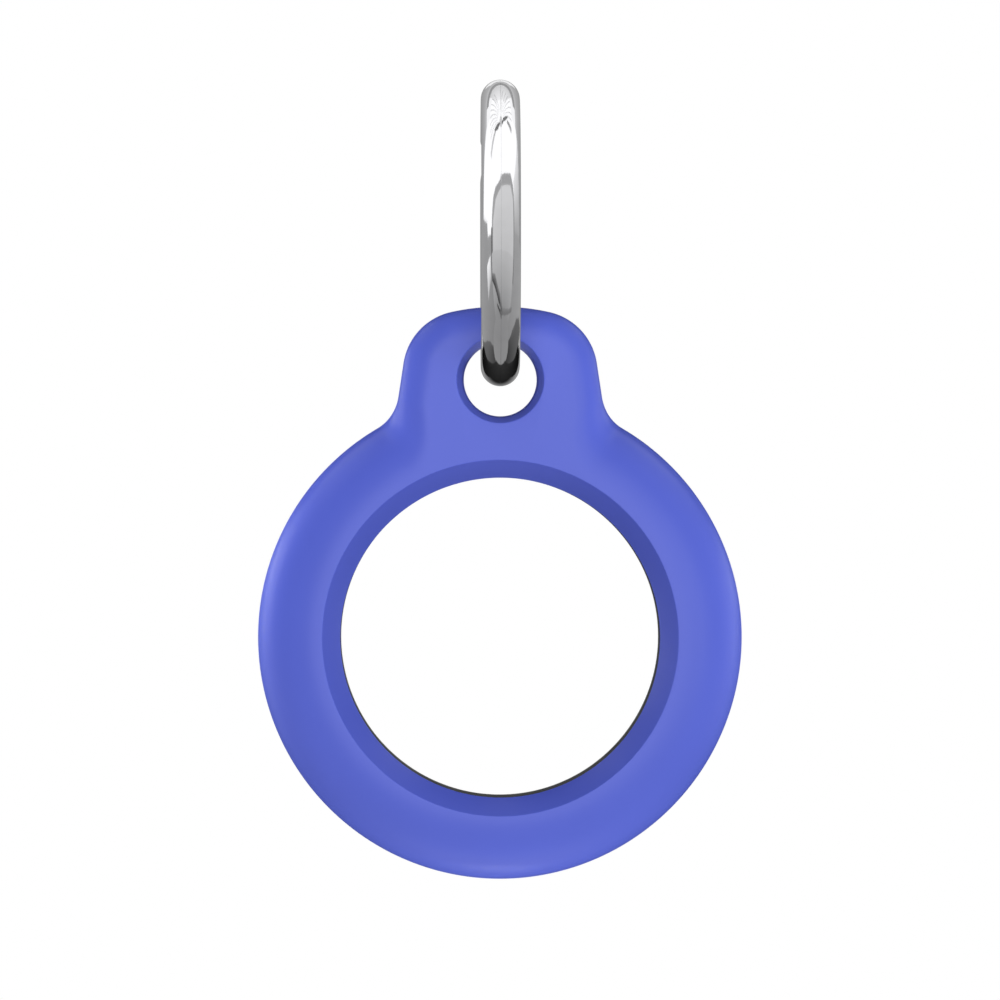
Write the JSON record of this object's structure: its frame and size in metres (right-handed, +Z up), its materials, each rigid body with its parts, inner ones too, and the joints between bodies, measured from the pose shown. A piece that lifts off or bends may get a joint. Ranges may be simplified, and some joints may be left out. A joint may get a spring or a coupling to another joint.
{
  "type": "tracker tag holder",
  "caption": "Round holder with a see-through window and a lug for a round tracker tag, closed from behind by a twist-on cap and hung on a split key ring.",
  "frame": {"origin": "centre of the tag's pocket, on its axis and on the body's middle plane", "axes": "+X to the right and +Z up as seen from the front, +Y along the pocket's axis from the front face to the rear"},
  "size_m": [0.04, 0.0252, 0.0659],
  "materials": {
    "moulded_body": "satin, very fine texture",
    "soft_pad": "matte",
    "ring_steel": "polished"
  },
  "bodies": {
    "ring": {"key_ring": "ring_steel"},
    "shell": {"body_shell": "moulded_body"},
    "cushion": {"cushion_ring": "soft_pad"},
    "cap": {"rear_cap": "moulded_body"}
  },
  "joints": [
    {"name": "ring_swing", "type": "hinge", "parent": "ring", "child": "shell", "pos_m": [0, -0.0028, 0.02228], "axis": [0, 1, 0], "range_deg": [-118, 118]},
    {"name": "pull_off", "type": "slide", "parent": "shell", "child": "cushion", "axis": [0, 1, 0], "range_m": [0, 0.016]},
    {"name": "twist_lock", "type": "hinge", "parent": "cushion", "child": "cap", "pos_m": [0, 0, 0], "axis": [0, 1, 0], "range_deg": [-40, 0]}
  ]
}
